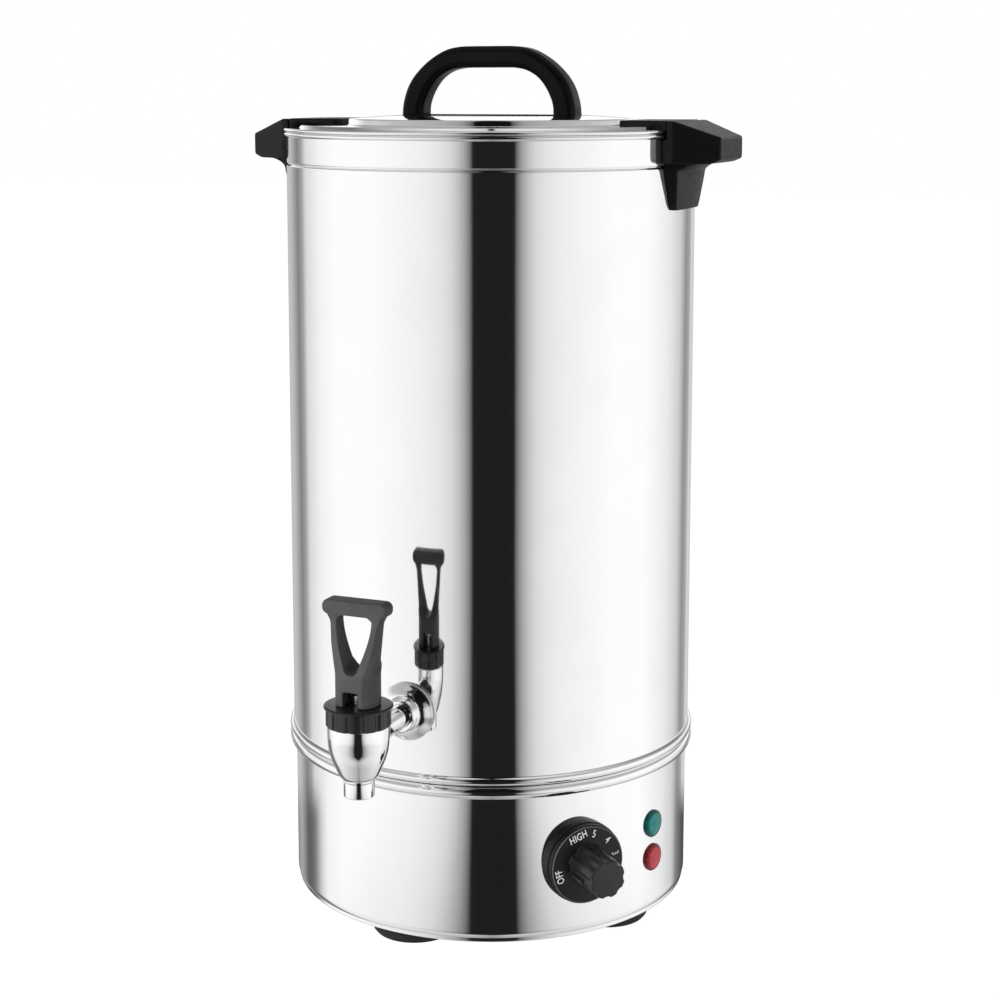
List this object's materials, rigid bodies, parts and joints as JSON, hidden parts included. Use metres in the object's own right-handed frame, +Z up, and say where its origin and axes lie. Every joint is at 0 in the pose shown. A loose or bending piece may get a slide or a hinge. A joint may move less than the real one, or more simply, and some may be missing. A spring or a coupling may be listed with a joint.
{
  "type": "hot water urn",
  "caption": "Upright stainless hot water urn with a lift-off lid, two side handles, a lever tap, a thermostat dial and two pilot lamps on a round base with rubber feet.",
  "frame": {"origin": "on the urn's upright axis, on the surface that its feet stand on", "axes": "+Z up; -Y towards the tap; the two side handles at -X and +X"},
  "size_m": [0.33, 0.3703, 0.575],
  "materials": {
    "stainless": "polished stainless steel",
    "base_steel": "plain stainless sheet",
    "fixings": "bright zinc-plated steel",
    "black_handles": "matt black phenolic",
    "lid_grip": "satin-gloss black phenolic",
    "tap_chrome": "chrome-plated brass",
    "tap_brass": "plain brass",
    "tap_black": "satin black nylon",
    "silicone": "translucent silicone",
    "dial_black": "satin black",
    "lamp_green": "clear green lens",
    "lamp_red": "clear red lens",
    "lamp_body": "white nylon",
    "foot_rubber": "black rubber",
    "spreader": "plain aluminium",
    "element": "heat-tinted steel tube",
    "controls": "brown-black phenolic",
    "sensors": "copper tube",
    "reset_red": "red",
    "gland_black": "black nylon"
  },
  "bodies": {
    "urn": {"tank": "stainless", "base_skirt": "stainless", "base_plate": "base_steel", "rubber_feet": "foot_rubber", "foot_screws": "fixings", "foot_nuts": "fixings", "tie_rods": "fixings", "tie_rod_nuts": "fixings", "side_handle_left": "black_handles", "side_handle_right": "black_handles", "handle_screws": "fixings", "tap_body": "tap_chrome", "tap_flange": "tap_chrome", "tap_outer_seal": "silicone", "tap_inner_seal": "silicone", "tap_nut": "tap_brass", "tap_bonnet": "tap_black", "plunger_spring": "fixings", "dial_bezel": "dial_black", "thermostat_body": "controls", "thermostat_screws": "fixings", "thermostat_sensor": "sensors", "green_lamp_lens": "lamp_green", "red_lamp_lens": "lamp_red", "lamp_bodies": "lamp_body", "lamp_nuts": "lamp_body", "heat_spreader": "spreader", "heating_element": "element", "cutout_body": "controls", "cutout_sensor": "sensors", "terminal_block": "lamp_body", "terminal_screws": "fixings", "cable_gland": "gland_black", "gland_nut": "gland_black"},
    "lid_assembly": {"lid": "stainless", "lid_handle": "lid_grip", "lid_handle_screws": "fixings", "lid_lug_left": "black_handles", "lid_lug_right": "black_handles", "lug_screws": "fixings"},
    "dial": {"control_knob": "dial_black", "thermostat_spindle": "fixings"},
    "lever": {"tap_lever": "tap_black"},
    "plunger": {"plunger_stem": "fixings", "plunger_pin": "fixings", "seat_cup": "silicone"},
    "reset": {"reset_button": "reset_red"}
  },
  "joints": [
    {"name": "lid_lift", "type": "slide", "parent": "urn", "child": "lid_assembly", "axis": [0, 0, 1], "range_m": [0, 0.15]},
    {"name": "dial_turn", "type": "hinge", "parent": "urn", "child": "dial", "pos_m": [0.09921, -0.08933, 0.0612], "axis": [0.7431, -0.6691, 0], "range_deg": [-30, 240]},
    {"name": "lever_pull", "type": "hinge", "parent": "urn", "child": "lever", "pos_m": [0, -0.2132, 0.1858], "axis": [1, 0, 0], "range_deg": [0, 30], "stiffness_Nm_per_rad": 0.6, "springref_deg": -17.19},
    {"name": "plunger_lift", "type": "slide", "parent": "urn", "child": "plunger", "axis": [0, 0, 1], "range_m": [0, 0.0068], "deforming": ["plunger_spring"]},
    {"name": "reset_press", "type": "slide", "parent": "urn", "child": "reset", "axis": [0, 0, 1], "range_m": [0, 0.002], "stiffness_N_per_m": 300, "springref_m": -0.004}
  ],
  "couplings": [
    {"joint": "plunger_lift", "follows": "lever_pull", "m_per_rad": 0.012133}
  ]
}
